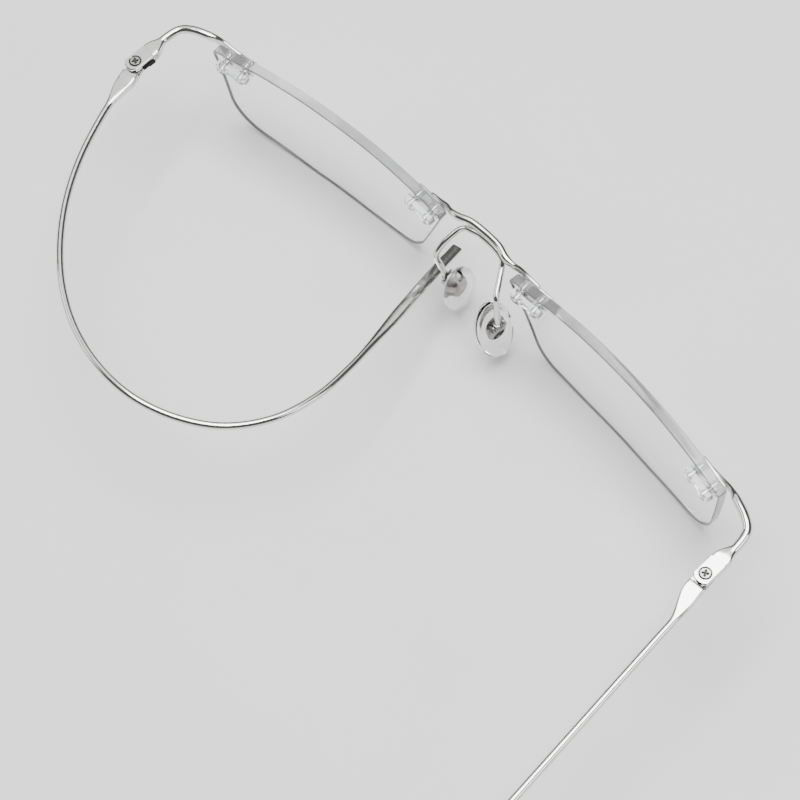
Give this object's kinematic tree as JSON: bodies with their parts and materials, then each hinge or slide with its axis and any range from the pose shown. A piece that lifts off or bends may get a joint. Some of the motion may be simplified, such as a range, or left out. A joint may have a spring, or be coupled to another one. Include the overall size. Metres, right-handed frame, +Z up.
{
  "type": "eyeglasses",
  "caption": "Rimless eyeglasses with narrow clear lenses, wire bridge, silicone nose pads and screw-hinged wire temples, one temple open and one curled under the bridge.",
  "frame": {"origin": "middle of the outer box in X and Y, on the surface that the lens bottoms and the open temple's tip stand on", "axes": "+Z up along the lenses, +Y the way the lenses face, +X the wearer's right, where the open temple is"},
  "size_m": [0.1504, 0.1578, 0.0238],
  "materials": {
    "titanium": "polished titanium wire",
    "screw_metal": "turned steel",
    "lens_clear": "clear, polished edges",
    "sleeve_clear": "clear nylon",
    "pad_silicone": "clear silicone",
    "pad_metal": "stamped metal",
    "washer_nylon": "black nylon"
  },
  "bodies": {
    "front": {"left_lens": "lens_clear", "right_lens": "lens_clear", "bridge": "titanium", "nose_pad_wire": "titanium", "left_endpiece": "titanium", "right_endpiece": "titanium", "left_outer_sleeve": "sleeve_clear", "left_inner_sleeve": "sleeve_clear", "right_inner_sleeve": "sleeve_clear", "right_outer_sleeve": "sleeve_clear", "left_hinge_screw": "screw_metal", "right_hinge_screw": "screw_metal", "left_hinge_washer": "washer_nylon", "right_hinge_washer": "washer_nylon", "left_hinge_nut": "screw_metal", "right_hinge_nut": "screw_metal", "left_pad_box": "pad_metal", "right_pad_box": "pad_metal"},
    "left_temple_arm": {"left_temple": "titanium"},
    "right_temple_arm": {"right_temple": "titanium"},
    "left_pad_swivel": {"left_nose_pad": "pad_silicone", "left_pad_insert": "pad_metal", "left_pad_screw": "screw_metal"},
    "right_pad_swivel": {"right_nose_pad": "pad_silicone", "right_pad_insert": "pad_metal", "right_pad_screw": "screw_metal"}
  },
  "joints": [
    {"name": "left_temple_fold", "type": "hinge", "parent": "front", "child": "left_temple_arm", "pos_m": [-0.0737, 0.05945, 0.022], "axis": [0, 0, -1], "range_deg": [0, 23]},
    {"name": "right_temple_fold", "type": "hinge", "parent": "front", "child": "right_temple_arm", "pos_m": [0.0623, 0.05945, 0.022], "axis": [0, 0, -1], "range_deg": [0, 94]},
    {"name": "left_pad_rock", "type": "hinge", "parent": "front", "child": "left_pad_swivel", "pos_m": [-0.00972, 0.07263, 0.00945], "axis": [-0.1585, 0.9666, 0.2013], "range_deg": [-8, 8]},
    {"name": "right_pad_rock", "type": "hinge", "parent": "front", "child": "right_pad_swivel", "pos_m": [0.0036, 0.07145, 0.0111], "axis": [0.0872, 0.9962, 0], "range_deg": [-8, 8]}
  ]
}
